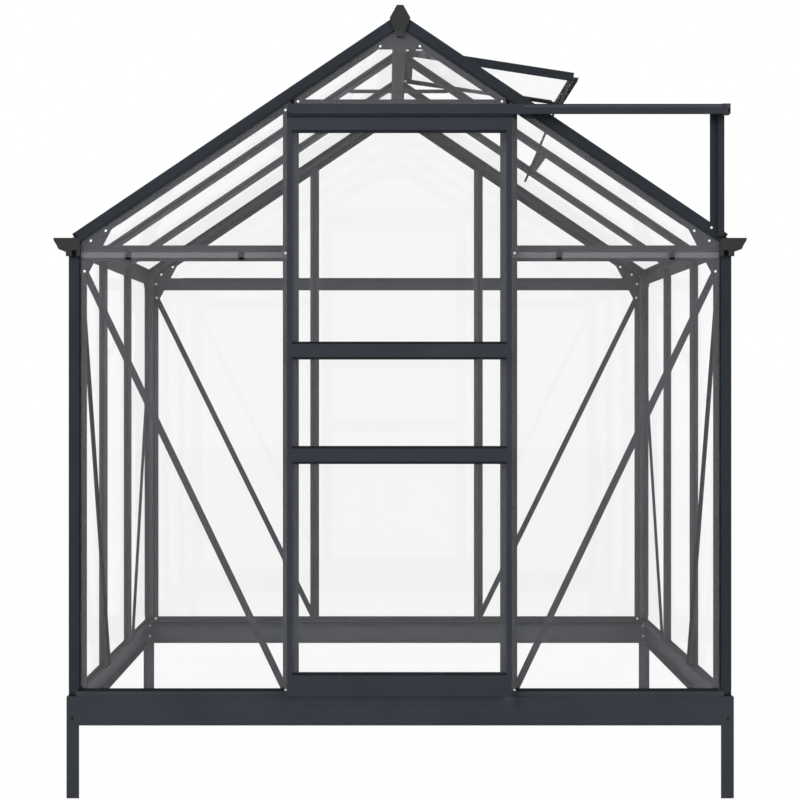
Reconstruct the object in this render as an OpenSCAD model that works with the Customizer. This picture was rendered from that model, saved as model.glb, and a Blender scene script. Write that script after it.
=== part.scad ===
// Aluminium glass greenhouse on a steel base, with a sliding front door
// and one propped roof vent. Millimetres, +Z up, front towards -Y.
// The origin is on the ground level of the stake feet, under the middle of the outline.

/* [Plan and height] */
// Width over the steel base
base_w = 1868; // [1700:1:2100]
// Depth over the steel base
base_d = 1868; // [1700:1:2400]
// Height of the steel base
base_h = 81; // [70:1:100]
// Length of a ground stake below the base
stake_drop = 204; // [150:1:260]
// Wall height from the base to the roof plane at the outer wall face
wall_h = 1290; // [1270:5:1340]
// Roof pitch in degrees
roof_pitch = 34; // [32:0.5:36]

/* [Steel base] */
// Sheet thickness of the base
sheet_t = 1.5; // [1:0.1:2.5]
// Width of the top flange of the base
base_flange = 36; // [30:1:50]
// Width of the bottom return of the base
base_return = 26; // [16:1:36]
// Leg width of a front stake along the gable
stake_leg = 33; // [26:1:40]
// Extra leg width of a rear stake
stake_more = 3; // [1:0.5:5]
// Leg width of a stake along the side
stake_side = 12; // [8:0.5:30]
// Thickness of a stake angle
stake_t = 2; // [1.5:0.1:3]
// Distance from the base face to the frame face
frame_inset = 5; // [4:0.5:8]

/* [Extrusions] */
// Face width of corner posts and gable rafters
post_w = 32; // [28:1:38]
// Glazing flange beyond the post face
flange_w = 18; // [15:1:24]
// Wall thickness of the extrusions
wall_t = 1.6; // [1.3:0.1:2.2]
// Depth of the glazing flange behind the frame face
flange_set = 8; // [7.6:0.2:10]
// Width of a glazing bar
bar_w = 31.4; // [26:0.2:38]
// Depth of a glazing bar behind the frame face
bar_depth = 25; // [22:0.5:30]
// Depth of a roof bar below the roof plane
roof_depth = 26; // [23:0.5:30]
// Width of the bar rib between two panes
rib_w = 5; // [4:0.5:8]
// Reach of a wall bar's rib beyond the frame face
nose = 1.5; // [1:0.1:2]
// Width of the bolt channel on a bar
stem_w = 12; // [10:0.5:15]
// Slot of the bolt channel
slot_w = 6; // [4:0.5:7]
// Distance of the glazing bars from the middle of each side
bar_pos = 304; // [292:1:316]
// Shift of a rear mullion's wings towards the middle
mull_in = 1.2; // [0.4:0.2:2]
// Height of the recessed foot under a corner post
foot_up = 22; // [18:0.5:26]
// Width of that foot
foot_w = 15; // [12:0.5:18]
// Set back of that foot from the post faces
foot_in = 5; // [4:0.5:7]
// Height of the outer lip of the rear sill
sill_h = 10; // [8:0.5:13]
// Height of the outer lip of the front sill
front_lip = 14; // [12:0.5:16]
// Height of the inner flange of a gable sill
sill_in = 16.5; // [14:0.5:20]
// Height of the outer lip of a side sill
side_lip = 6; // [5:0.5:9]
// Height of the inner flange of a side sill
side_in = 12; // [10:0.5:15]
// Level of the gable rails below the roof plane at the wall
rail_drop = 70; // [60:1:80]
// Height of a gable rail
rail_h = 45; // [36:1:50]
// Depth of a gable rail
rail_d = 15; // [10:1:20]
// Set back of the rafter foot from the wall face along the slope
rafter_back = 13; // [8:0.5:18]
// Drop of the rear rafters below the roof plane
rear_low = 3; // [1:0.5:4]
// Set back of the inner edge of the roof seat from the wall face
seat_back = 20; // [14:0.5:26]
// Half width of the ridge beam
ridge_half = 18.25; // [15:0.25:22]
// Overhang of the ridge wings
ridge_wing = 8; // [6:0.5:12]
// Half width of the flat on the ridge crest
crest_half = 7.5; // [5:0.5:10]
// Drop of the ridge beam below the roof apex
ridge_drop = 70; // [64:1:80]
// Rise of the ridge crest above the roof apex
ridge_rise = 18.5; // [14:0.5:24]

/* [Gutters] */
// Level of the eave web foot below the roof plane at the wall
eave_drop = 50; // [46:1:60]
// Level of the link plate below the roof plane at the wall
link_drop = 29; // [24:1:34]
// Level of the gutter floor below the roof plane at the wall
gutter_drop = 39; // [36:0.5:44]
// Height of the gutter's wall side below its lip
gutter_low = 9; // [8:0.5:14]
// Reach of a gutter beyond the frame face
gutter_w = 41.7; // [36:0.1:50]
// Height of a gutter
gutter_h = 34; // [28:0.5:40]
// Length of a plastic cap beyond a gutter end
cap_t = 11; // [8:0.5:14]
// Depth of the cap block below the gutter floor
cap_low = 17; // [10:0.5:20]
// Reach of the cap block beyond the frame face
cap_side = 6.6; // [5:0.1:8]
// Length of a plastic cap beyond a ridge end
ridge_cap_t = 8; // [6:0.5:12]
// Half width of a ridge cap at its shoulders
ridge_cap_half = 29.1; // [27:0.1:34]
// Level of the ridge cap shoulders below the roof apex
ridge_cap_drop = 15; // [12:0.5:20]
// Half width of a ridge cap at top and foot
ridge_cap_tip = 9; // [7:0.5:12]
// Rim of a ridge cap round the beam
ridge_cap_rim = 2.5; // [1.5:0.5:4]

/* [Bracing] */
// Width of a flat brace
brace_w = 19.1; // [14:0.1:24]
// Thickness of braces and gusset plates
plate_t = 1.6; // [1.2:0.1:2.5]
// Distance of the upper brace end from the frame corner
brace_in = 43.5; // [36:0.5:48]
// Level of the upper brace end below the roof plane at the wall
brace_drop = 98; // [85:1:110]
// Height of the lower brace end above the base
brace_foot = 16.5; // [12:0.5:20]
// Distance of the lower brace end beyond its bar
brace_low = 19; // [16:0.5:24]
// Depth of the stiffening leg on a side brace
brace_leg = 10; // [7:0.5:11]
// Reach of a corner gusset along the rafter
gusset_reach = 119; // [100:1:140]
// Reach of a corner gusset down the post
gusset_drop = 111; // [95:1:130]
// Half width of the apex gusset
apex_half = 60; // [48:1:70]
// Level of the apex gusset foot below the roof apex
apex_drop = 101.5; // [94:0.5:112]
// Height of a roof tie
tie_h = 8; // [6:0.5:12]
// Level of the roof ties below the roof apex
tie_drop = 132; // [115:1:150]

/* [Glass] */
// Height of the pane foot above the base
pane_foot = 4; // [3:0.5:6]
// Height of the low pane's top edge above the foot of a gable rail
lap_up = 25.5; // [18:0.5:32]
// Reach of the roof panes beyond the wall face along the slope
glass_over = 14; // [8:0.5:20]
// Glass thickness
glass_t = 3; // [2.6:0.1:3]
// Play around the edges of a pane
pane_gap = 1.5; // [1:0.1:2]
// Sealing gap between a pane and its flange
seal_gap = 0.4; // [0.3:0.1:0.5]
// Gap between two panes in a lap
lap_gap = 0.2; // [0.1:0.05:0.4]
// Height of a glass lap
lap_h = 16.3; // [10:0.1:24]

/* [Door] */
// Width of the door
door_w = 626; // [608:1:640]
// Set of the closed door to the left of the middle
door_set = 2.4; // [0:0.2:4]
// Depth of the door frame
door_t = 20; // [18:0.5:24]
// Face width of a door stile
stile_w = 14; // [12:0.5:20]
// Face height of a door rail without its lips
door_rail = 36; // [28:1:44]
// Height of a glazing lip on a door rail
lip_h = 7; // [6:0.5:9]
// Face height of the top rail without its lip
top_rail = 41; // [30:0.5:46]
// Face height of the bottom rail without its lip
kick_h = 58.5; // [48:0.5:72]
// Height of the upper cross rail above the door bottom
cross_up = 945; // [900:1:980]
// Height of the lower cross rail above the door bottom
cross_low = 654; // [610:1:700]
// Overlap of the door over a jamb
door_lap = 29; // [24:0.5:34]
// Distance of a jamb's rib from the door edge
jamb_back = 9; // [7:0.5:12]
// Width of a jamb
jamb_w = 45; // [38:1:50]
// Free space between door and base, track and fixed frame
door_gap = 6; // [5:0.5:8]
// Drop of the header below the rafter
head_drop = 14; // [10:0.5:24]
// Rise of the header over the track
head_up = 4; // [2:0.5:6]
// Height of the header box
head_h = 29; // [24:0.5:32]
// Height of the door track
track_h = 24.5; // [24:0.5:28]
// Depth of the door track
track_d = 34; // [32:0.5:40]
// Wall thickness of the door track
track_t = 2; // [1.6:0.1:2.5]
// Distance of the track behind its front edge from the frame face
track_off = 15; // [13:0.5:18]
// Width of the post under the track's free end
track_post_w = 38.5; // [32:0.5:44]
// Width of the raised half of that post
track_post_half = 17; // [14:0.5:19]
// Plate thickness of that post
track_post_t = 2; // [1.6:0.1:3]
// Reach of that post beyond the track end
track_post_out = 10; // [6:0.5:12]
// Length of the track end cap
track_cap = 21.5; // [15:0.5:30]
// Slot of the door track
track_slot = 12; // [10:0.5:14]
// Rim of the track end cap
cap_over = 1; // [0.5:0.5:2]
// Distance of a roller hanger from the door edge
hanger_in = 60; // [45:1:80]
// Length of a roller hanger
hanger_l = 40; // [32:1:50]
// Thickness of a roller hanger
hanger_t = 5; // [4:0.5:6]
// Diameter of a roller axle
axle_d = 6; // [5:0.5:8]
// Width of a roller
roller_w = 6.5; // [5:0.5:7]
// Diameter of a door roller
roller_d = 18; // [15:0.5:18.5]
// Running gap of a roller
run_gap = 0.3; // [0.2:0.05:0.5]

/* [Roof vent] */
// Length of the vent
vent_len = 525; // [515:1:535]
// Depth of the vent frame
vent_t = 27; // [22:0.5:30]
// Depth of the glass seat below the top of the vent frame
vent_seat = 13.5; // [10:0.5:16]
// Reach of the drip lip beyond the vent
vent_lip = 18; // [10:0.5:22]
// Depth of the drip lip below the top of the vent
lip_n = 15.2; // [12:0.2:18]
// Reach of the vent pane over the drip lip
vent_over = 4; // [2:0.5:6]
// Flange of the vent frame under the glass
vent_flange = 18; // [14:0.5:24]
// Opening angle at which the vent is propped
vent_open = 25.2; // [22:0.2:28]
// Thickness of the vent stay
stay_t = 2; // [1.5:0.1:3]
// Width of the vent stay
stay_w = 7.5; // [6:0.5:10]
// Length of the stay below the transom
stay_tail = 64; // [40:1:80]
// Distance of the transom from the roof apex along the slope
transom_at = 549; // [546:1:556]
// Width of the transom
transom_w = 20; // [16:0.5:26]

/* [Hidden] */
fit = 0.2;
eps = 0.01;
big = 4000;
tp = tan(roof_pitch);
cp = cos(roof_pitch);
sp = sin(roof_pitch);
hx = base_w / 2 - frame_inset;
hy = base_d / 2 - frame_inset;
z_base = stake_drop;
z_sill = stake_drop + base_h;
z_roof = z_sill + wall_h;
z_ridge = z_roof + hx * tp;
v_in = flange_set + wall_t;
v_pane = flange_set - seal_gap - glass_t;
v_lap = v_pane - lap_gap - glass_t;
rib_v = wall_t + fit;
pane_out = post_w + pane_gap;
pane_bar = rib_w / 2 + pane_gap;
z_pane = z_sill + pane_foot;
z_flange = z_sill + sill_in + fit;
z_side = z_sill + side_in + fit;
z_rail = z_roof - rail_drop;
z_low_top = z_rail + lap_up;
z_up = z_low_top - lap_h;
z_eave = z_roof - eave_drop;
z_link = z_roof - link_drop;
z_gutter = z_roof - gutter_drop;
z_lip = z_gutter + gutter_h;
s_wall = hx / cp;
s_rafter = s_wall - rafter_back;
s_flange = (hx - post_w - fit + post_w * sp) / cp;
s_seat = s_wall - seat_back;
s_glass = s_wall + glass_over;
z_rb = z_ridge - ridge_drop;
jamb_pos = door_w / 2 - jamb_back;
jamb_x = door_w / 2 - door_lap;
jamb_out = jamb_x + jamb_w;
mull_x0 = bar_pos - bar_w / 2 - 2 * mull_in;
mull_x1 = bar_pos + bar_w / 2 - mull_in;
z_plate = z_ridge - ridge_half * tp - post_w / cp;
track_v = -track_off;
track_front = track_v - track_d;
z_head_top = z_ridge - jamb_pos * tp - post_w / cp - head_drop;
z_head = z_head_top - head_h;
z_track = z_head_top - head_up - track_h;
track_end = hx - post_w;
door_back = track_v - door_gap;
door_front = door_back - door_t;
z_door = z_sill + door_gap;
z_door_top = z_track - door_gap;
glass_mid = door_back - door_t / 2;
slot_mid = track_v - track_d / 2;
plan_y = (-track_front + cap_over - cap_t) / 2;
x_hinge = ridge_half + ridge_wing + 2 * fit;
vent_tilt = roof_pitch - vent_open;
z_hinge = z_ridge - x_hinge * tp - 2 * pane_gap / cp + vent_t / cos(vent_tilt);
vent_half = bar_pos - rib_w / 2 - pane_gap;
vent_head = wall_t + vent_t * tan(vent_tilt);
frame_col = "#3a3e46";
steel_col = "#3b3e46";
cap_col = "#3c3d39";
glass_col = [0.85, 0.9, 0.9, 0.3];

// Height of a plane at depth n below the roof plane, at distance x from the middle
function roof_z(x, n = 0) = z_ridge - abs(x) * tp - n / cp;
// Distance from the middle at which that plane has height z
function roof_x(z, n = 0) = (z_ridge - n / cp - z) / tp;
// Point in the gable view at distance s down the slope and depth n
function slope_pt(s, n) = [s * cp - n * sp, z_ridge - s * sp - n * cp];
// Point in the gable view at distance d down the open vent and depth n
function vent_pt(d, n) = [x_hinge + d * cos(vent_tilt) - n * sin(vent_tilt),
                          z_hinge - d * sin(vent_tilt) - n * cos(vent_tilt)];

// Places: a wall seen with x along it, y inwards from its outer face
module at_front() {
  translate([0, plan_y - hy, 0]) children();
}
module at_door() {
  translate([-door_set, plan_y - hy, 0]) children();
}
module at_rear() {
  translate([0, plan_y + hy, 0]) mirror([0, 1, 0]) children();
}
module at_right() {
  translate([hx, plan_y, 0]) rotate([0, 0, 90]) children();
}
module at_left() {
  mirror([1, 0, 0]) at_right() children();
}
module both_x() {
  children();
  mirror([1, 0, 0]) children();
}
// Right roof slope with x down the slope, y along the house, z outwards
module at_roof() {
  translate([0, plan_y, z_ridge]) rotate([0, roof_pitch, 0]) children();
}
module at_vent() {
  translate([x_hinge, plan_y, z_hinge]) rotate([0, vent_tilt, 0]) children();
}
// Section drawn as (inwards, up), run along x about the middle
module along_x(len) {
  translate([-len / 2, 0, 0]) rotate([90, 0, 90]) linear_extrude(height = len) children();
}
// Section drawn as (x, up), run along y about the middle
module along_y(len) {
  translate([0, len / 2, 0]) rotate([90, 0, 0]) linear_extrude(height = len) children();
}
// Flat shape drawn as (x, up), from depth v with thickness t
module leaf(v, t) {
  translate([0, v + t, 0]) rotate([90, 0, 0]) linear_extrude(height = t) children();
}
// Everything above a plane at depth n below the right roof slope
module above_roof(n) {
  at_roof() translate([-big / 2, -big / 2, -n]) cube([big, big, big]);
}

// Steel base: a folded channel with a top flange and a bottom return
module base_side(len, cut) {
  translate([-len / 2, -frame_inset, z_base]) cube([len, sheet_t, base_h]);
  translate([-cut / 2, -frame_inset, z_sill - sheet_t]) cube([cut, base_flange, sheet_t]);
  inner = len - 2 * (stake_leg + stake_more + 2 * sheet_t + fit);
  translate([-inner / 2, -frame_inset, z_base]) cube([inner, base_return, sheet_t]);
}
module base_front() {
  color(steel_col) at_front() base_side(base_w, base_w - 2 * sheet_t);
}
module base_rear() {
  color(steel_col) at_rear() base_side(base_w, base_w - 2 * sheet_t);
}
module base_flank() {
  base_side(base_d - 2 * sheet_t, base_d - 2 * base_flange);
}
module base_left() {
  color(steel_col) at_left() base_flank();
}
module base_right() {
  color(steel_col) at_right() base_flank();
}
// Angle stake at the right end of a gable, shouldered under the base
module stake(leg) {
  top = z_sill - sheet_t;
  foot = -frame_inset + sheet_t;
  translate([hx - foot - leg, foot, 0]) cube([leg, stake_t, top]);
  translate([hx - foot - stake_t, foot, 0]) cube([stake_t, stake_side, top]);
  translate([hx - foot - leg, -frame_inset, 0])
    cube([leg + sheet_t, sheet_t + stake_t, z_base - fit]);
  translate([hx - foot - stake_t, -frame_inset, 0])
    cube([stake_t + sheet_t, stake_side + sheet_t, z_base - fit]);
}
module ground_stakes() {
  color(steel_col) both_x() {
    at_front() stake(stake_leg);
    at_rear() stake(stake_leg + stake_more);
  }
}

// Sill: outer lip, inner flange and a foot on the base
module sill_section(high) {
  square([bar_depth + 2, wall_t]);
  translate([flange_set, 0]) square([wall_t, high]);
}
module sill(half, lip, high) {
  translate([0, 0, z_sill]) {
    along_x(2 * (half - post_w)) sill_section(high);
    along_x(2 * (half - foot_in - foot_w - fit)) square([wall_t, lip]);
  }
}
module sill_front() {
  color(frame_col) at_front() sill(hx, front_lip, sill_in);
}
module sill_rear() {
  color(frame_col) at_rear() sill(hx, sill_h, sill_in);
}
module sill_left() {
  color(frame_col) at_left() sill(hy, side_lip, side_in);
}
module sill_right() {
  color(frame_col) at_right() sill(hy, side_lip, side_in);
}

// Corner post at the right end of a gable: hollow block on a recessed foot, two glazing flanges
module post_block() {
  difference() {
    translate([hx - post_w, 0]) square([post_w, post_w]);
    translate([hx - post_w + wall_t, wall_t])
      square([post_w - 2 * wall_t, post_w - 2 * wall_t]);
  }
}
module corner_post() {
  difference() {
    translate([0, 0, z_sill + foot_up]) linear_extrude(height = wall_h) post_block();
    post_top_cut(post_w + fit);
  }
  translate([hx - post_w, 0, z_sill + foot_up]) cube([post_w, post_w, wall_t]);
  translate([hx - foot_in - foot_w, foot_in, z_sill]) cube([foot_w, foot_w, foot_up + wall_t]);
  difference() {
    translate([hx - post_w - flange_w, flange_set, z_flange])
      cube([flange_w, wall_t, wall_h]);
    post_top_cut(post_w + flange_w + fit);
  }
  translate([hx - flange_set - wall_t, post_w, z_side])
    cube([wall_t, flange_w, z_eave - fit - z_side]);
}
module post_top_cut(n) {
  translate([0, -plan_y, 0]) above_roof(n);
}
module corner_posts() {
  color(frame_col) both_x() {
    at_front() corner_post();
    at_rear() corner_post();
  }
}

// Glazing bar pieces seen from above: rib from depth v, wings and bolt channel
module bar_rib(v) {
  translate([-rib_w / 2, v]) square([rib_w, flange_set - v]);
}
module bar_wing() {
  translate([-bar_w / 2, flange_set]) square([bar_w, wall_t]);
}
module bar_stem(deep) {
  difference() {
    translate([-stem_w / 2, v_in]) square([stem_w, deep - v_in]);
    translate([-stem_w / 2 + wall_t, v_in + wall_t])
      square([stem_w - 2 * wall_t, deep - v_in - 2 * wall_t]);
    translate([-slot_w / 2, deep - 2 * wall_t]) square([slot_w, 3 * wall_t]);
  }
}
// Upright bar of a gable at distance x from the middle, wings from x0 to x1
module gable_upright(x, x0, x1) {
  difference() {
    translate([x, 0, z_sill + wall_t]) linear_extrude(height = 2 * wall_h) {
      bar_rib(rib_v);
      bar_stem(bar_depth);
    }
    post_top_cut(post_w + fit);
    translate([x - bar_w, flange_set, 0]) cube([2 * bar_w, wall_t, z_flange]);
  }
  difference() {
    translate([x0, flange_set, z_flange]) cube([x1 - x0, wall_t, 2 * wall_h]);
    post_top_cut(post_w + flange_w + fit);
  }
}
module door_jambs() {
  color(frame_col) at_front() both_x() gable_upright(jamb_pos, jamb_x, jamb_out);
}
module rear_mullions() {
  color(frame_col) at_rear() both_x()
    gable_upright(bar_pos, mull_x0, mull_x1);
}
module wall_bar() {
  z_nose = z_sill + side_lip + fit;
  translate([0, 0, z_sill + wall_t]) linear_extrude(height = z_link - fit - z_sill - wall_t) bar_rib(rib_v);
  translate([0, 0, z_nose]) linear_extrude(height = z_gutter - fit - z_nose) bar_rib(-nose);
  translate([0, 0, z_side]) linear_extrude(height = z_eave - fit - z_side) bar_wing();
  translate([0, 0, z_sill + wall_t])
    linear_extrude(height = z_link + bar_depth / 3 - z_sill - wall_t) bar_stem(bar_depth);
}
module wall_bar_pair() {
  translate([bar_pos, 0, 0]) wall_bar();
  translate([-bar_pos, 0, 0]) wall_bar();
}
module wall_bars_left() {
  color(frame_col) at_left() wall_bar_pair();
}
module wall_bars_right() {
  color(frame_col) at_right() wall_bar_pair();
}

// Gable rails in the flange plane, an angle with a short inner leaf
module gable_rail(x0, x1, shy) {
  difference() {
    translate([x0, flange_set, z_rail]) cube([x1 - x0, wall_t, rail_h]);
    post_top_cut(post_w + flange_w + fit);
  }
  translate([x0 + fit, v_in, z_rail + rail_h - wall_t])
    cube([x1 - x0 - fit - shy, rail_d, wall_t]);
}
module gable_rails() {
  post_in = hx - post_w - flange_w - fit;
  color(frame_col) {
    at_front() both_x() gable_rail(jamb_out + fit, post_in, gusset_reach - post_w);
    at_rear() both_x() gable_rail(mull_x1 + fit, post_in, gusset_reach - post_w);
    at_rear() gable_rail(fit - mull_x0, mull_x0 - fit, fit);
  }
}

// Header over the doorway: a hollow box that carries the track, with a glazing leaf
module door_header() {
  box_w = 2 * (jamb_pos - rib_w / 2 - fit);
  leaf_w = 2 * (jamb_x - fit);
  color(frame_col) at_front() {
    difference() {
      translate([-box_w / 2, track_v, z_head]) cube([box_w, flange_set - track_v, head_h]);
      translate([-box_w, track_v + wall_t, z_head + wall_t])
        cube([2 * box_w, flange_set - track_v - 2 * wall_t, head_h - 2 * wall_t]);
    }
    difference() {
      translate([-leaf_w / 2, flange_set, z_head]) cube([leaf_w, wall_t, rail_h]);
      both_x() post_top_cut(post_w + flange_w + fit);
    }
  }
}

// Gable rafter: the post profile laid along the slope
module rafter_run(v0, low) {
  difference() {
    translate([0, v0, -post_w]) cube([s_rafter, post_w, post_w - low]);
    translate([-1, v0 + wall_t, wall_t - post_w])
      cube([s_rafter + 2, post_w - 2 * wall_t, post_w - low - 2 * wall_t]);
  }
  translate([0, v0 + flange_set, -post_w - flange_w])
    cube([s_flange, wall_t, flange_w]);
  translate([0, v0 + post_w, -v_in]) cube([s_seat - fit, flange_w, wall_t]);
}
module ridge_cut() {
  translate([ridge_half + fit - big, -big / 2, 0]) cube([big, big, big]);
}
module right_rafters() {
  difference() {
    at_roof() {
      rafter_run(-hy, 0);
      mirror([0, 1, 0]) rafter_run(-hy, rear_low);
    }
    ridge_cut();
  }
}
module rafters_right() {
  color(frame_col) right_rafters();
}
module rafters_left() {
  color(frame_col) mirror([1, 0, 0]) right_rafters();
}

// Roof glazing bars between ridge and eave seat
module roof_bar() {
  rotate([90, 0, 90]) mirror([0, 1, 0]) {
    linear_extrude(height = s_wall - pane_foot) bar_rib(0);
    linear_extrude(height = s_seat - fit) {
      bar_wing();
      bar_stem(roof_depth);
    }
  }
}
module right_roof_bars() {
  difference() {
    at_roof() {
      translate([0, bar_pos, 0]) roof_bar();
      translate([0, -bar_pos, 0]) roof_bar();
    }
    ridge_cut();
  }
}
module roof_bars_right() {
  color(frame_col) right_roof_bars();
}
module roof_bars_left() {
  color(frame_col) mirror([1, 0, 0]) right_roof_bars();
}

// Ridge beam: a hollow body with wings on the roof plane and a raised crest, cut back over the apex plates
module ridge_beam() {
  tip = ridge_half + ridge_wing;
  lift = fit / cp;
  in_x = ridge_half - wall_t;
  back = v_in + plate_t + fit;
  color(frame_col) translate([0, plan_y, 0]) difference() {
    along_y(2 * hy) difference() {
      polygon([[-ridge_half, z_rb], [ridge_half, z_rb],
               [ridge_half, roof_z(ridge_half) + lift], [tip, roof_z(tip) + lift],
               [crest_half, z_ridge + ridge_rise], [-crest_half, z_ridge + ridge_rise],
               [-tip, roof_z(tip) + lift], [-ridge_half, roof_z(ridge_half) + lift]]);
      polygon([[-in_x, z_rb + wall_t], [in_x, z_rb + wall_t], [in_x, roof_z(in_x)],
               [crest_half - wall_t, z_ridge + ridge_rise - 2 * wall_t],
               [-crest_half + wall_t, z_ridge + ridge_rise - 2 * wall_t],
               [-in_x, roof_z(in_x)]]);
    }
    for (m = [0, 1]) mirror([0, m, 0])
      translate([-tip, -hy - back, z_rb - back]) cube([2 * tip, 2 * back, z_plate + back - z_rb]);
  }
}

// Outer outline of the gutter, from the wall foot round the ogee to the lip
gutter_line = [[fit, 0], [0.384 * gutter_w, 0], [0.55 * gutter_w, 0.02 * gutter_h],
               [0.64 * gutter_w, 0.07 * gutter_h], [0.69 * gutter_w, 0.15 * gutter_h],
               [0.76 * gutter_w, 0.345 * gutter_h], [0.8 * gutter_w, 0.45 * gutter_h],
               [0.885 * gutter_w, 0.6 * gutter_h], [0.955 * gutter_w, 0.76 * gutter_h],
               [0.985 * gutter_w, 0.88 * gutter_h], [gutter_w, gutter_h]];
gutter_last = len(gutter_line) - 1;
gutter_inner = concat([for (i = [gutter_last:-1:1])
                         gutter_line[i] + [-0.95 * wall_t, i < gutter_last ? 0.8 * wall_t : 0]],
                      [[fit + wall_t, 0.8 * wall_t], [fit + wall_t, gutter_h - gutter_low],
                       [fit, gutter_h - gutter_low]]);
// Right eave: trough over the full length, web and roof seat between the posts
module right_eave() {
  seat_o = slope_pt(s_seat, flange_set);
  seat_i = slope_pt(s_seat, v_in);
  translate([hx, plan_y, z_gutter]) along_y(2 * hy) polygon(concat(gutter_line, gutter_inner));
  translate([0, plan_y, 0]) along_y(2 * (hy - post_w - fit)) {
    translate([hx - v_in, z_link]) square([v_in + fit + wall_t, wall_t]);
    polygon([[hx - flange_set, z_eave], [hx - flange_set, roof_z(hx - flange_set, flange_set)],
             seat_o, seat_i, [hx - v_in, roof_z(hx - v_in, v_in)], [hx - v_in, z_eave]]);
  }
}
module eave_gutter_right() {
  color(frame_col) right_eave();
}
module eave_gutter_left() {
  color(frame_col) mirror([1, 0, 0]) right_eave();
}

// Plastic caps on ridge ends, gutter ends and the track end
module ridge_cap() {
  top = z_ridge + ridge_rise + ridge_cap_rim;
  mid = z_ridge - ridge_cap_drop;
  low = z_rb + ridge_cap_rim;
  leaf(-ridge_cap_t, ridge_cap_t)
    polygon([[-ridge_cap_tip, top], [-ridge_cap_half, mid], [-ridge_cap_tip, low],
             [ridge_cap_tip, low], [ridge_cap_half, mid], [ridge_cap_tip, top]]);
}
module gutter_cap() {
  inner = hx - post_w;
  rim = [for (p = gutter_line) if (p[0] > cap_side) [hx + p[0], z_gutter + p[1]]];
  foot = z_gutter - cap_low;
  leaf(-cap_t, cap_t)
    polygon(concat([[inner, foot], [hx + cap_side, foot], [hx + cap_side, z_gutter]], rim,
                   [[inner + cap_side, z_lip], [inner, z_lip - cap_side]]));
}
module end_caps() {
  color(cap_col) {
    at_front() ridge_cap();
    at_rear() ridge_cap();
    both_x() {
      at_front() gutter_cap();
      at_rear() gutter_cap();
    }
    at_front() translate([track_end, track_front - cap_over, z_track - cap_over])
      cube([track_cap, track_d + cap_over, track_h + 2 * cap_over]);
  }
}

// Flat brace between two points of a wall, at depth v, with a leg inwards on its upper edge
module brace(p, q, v, leg) {
  run = norm(q - p);
  turn = atan2(q[1] - p[1], q[0] - p[0]);
  translate([p[0], 0, p[1]]) rotate([0, -turn, 0]) translate([0, v, -brace_w / 2]) {
    cube([run, plate_t, brace_w]);
    if (leg > 0) translate([-brace_w, 0, 0]) cube([run + 2 * brace_w, leg, plate_t]);
  }
}
module gable_brace(pos, out) {
  difference() {
    brace([hx - brace_in, z_roof - brace_drop], [pos + out, z_sill + brace_foot], v_in + plate_t, 0);
    translate([pos - hx, 0, 0]) cube([hx + stem_w / 2 + fit, 2 * bar_depth, z_ridge]);
  }
}
module gable_braces() {
  color(frame_col) both_x() {
    at_front() gable_brace(jamb_pos, brace_low);
    at_rear() gable_brace(bar_pos, brace_low / 5);
  }
}
// Brace of a side wall: an angle on the bars' inner faces, from the post down to the sill
module side_brace() {
  top = [hy - post_w / 2, z_eave];
  foot = [bar_pos, z_sill];
  difference() {
    brace(top, foot, bar_depth + fit, brace_leg);
    translate([hy - post_w - fit, 0, 0]) cube([2 * post_w, 3 * bar_depth, z_ridge]);
    cube([hy, 3 * bar_depth, z_sill + wall_t + fit]);
  }
}
module side_braces() {
  color(frame_col) {
    at_left() both_x() side_brace();
    at_right() both_x() side_brace();
  }
}

// Gusset plates behind the glazing flanges at eaves and apex
module corner_gusset() {
  edge = hx - post_w - fit;
  far = hx - gusset_reach;
  near = far + flange_w * sp;
  foot = z_roof - gusset_drop;
  leaf(v_in, plate_t)
    polygon([[hx - post_w - flange_w, foot], [edge, foot], [edge, roof_z(edge, post_w + fit)],
             [near, roof_z(near, post_w + fit)], [far, roof_z(far, post_w + flange_w)]]);
}
module apex_gusset() {
  low = z_ridge - apex_drop;
  top = z_plate - 2 * fit;
  mid = roof_x(z_rb, post_w + flange_w / 3);
  leaf(v_in, plate_t)
    polygon([[-apex_half, low], [apex_half, low], [mid, z_rb], [ridge_half, top],
             [-ridge_half, top], [-mid, z_rb]]);
}
module gusset_plates() {
  color(frame_col) {
    both_x() {
      at_front() corner_gusset();
      at_rear() corner_gusset();
    }
    at_front() apex_gusset();
    at_rear() apex_gusset();
  }
}

// Ties across the roof under the glazing bars
module roof_tie() {
  z0 = z_ridge - tie_drop - tie_h / 2;
  n = roof_depth + fit;
  along_y(stem_w)
    polygon([[-roof_x(z0, n), z0], [roof_x(z0, n), z0],
             [roof_x(z0 + tie_h, n), z0 + tie_h], [-roof_x(z0 + tie_h, n), z0 + tie_h]]);
}
module roof_ties() {
  color(frame_col) {
    translate([0, plan_y + bar_pos, 0]) roof_tie();
    translate([0, plan_y - bar_pos, 0]) roof_tie();
  }
}

// Gable panes: a low pane, and a lapped pane above it that follows the rafter
module side_panes(pos) {
  x0 = pos + pane_bar;
  x1 = hx - pane_out;
  leaf(v_pane, glass_t)
    polygon([[x0, z_pane], [x1, z_pane], [x1, z_low_top], [x0, z_low_top]]);
  leaf(v_lap, glass_t)
    polygon([[x0, z_up], [x1, z_up], [x1, roof_z(x1, pane_out)], [x0, roof_z(x0, pane_out)]]);
}
module apex_pane(pos, z0, v) {
  x0 = pos - pane_bar;
  top = z_plate - pane_gap;
  xt = roof_x(top, pane_out);
  leaf(v, glass_t)
    polygon([[-x0, z0], [x0, z0], [x0, roof_z(x0, pane_out)], [xt, top], [-xt, top],
             [-x0, roof_z(x0, pane_out)]]);
}
module front_glass() {
  color(glass_col) at_front() {
    both_x() side_panes(jamb_pos);
    apex_pane(jamb_pos, z_head_top + fit, v_pane);
  }
}
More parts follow.
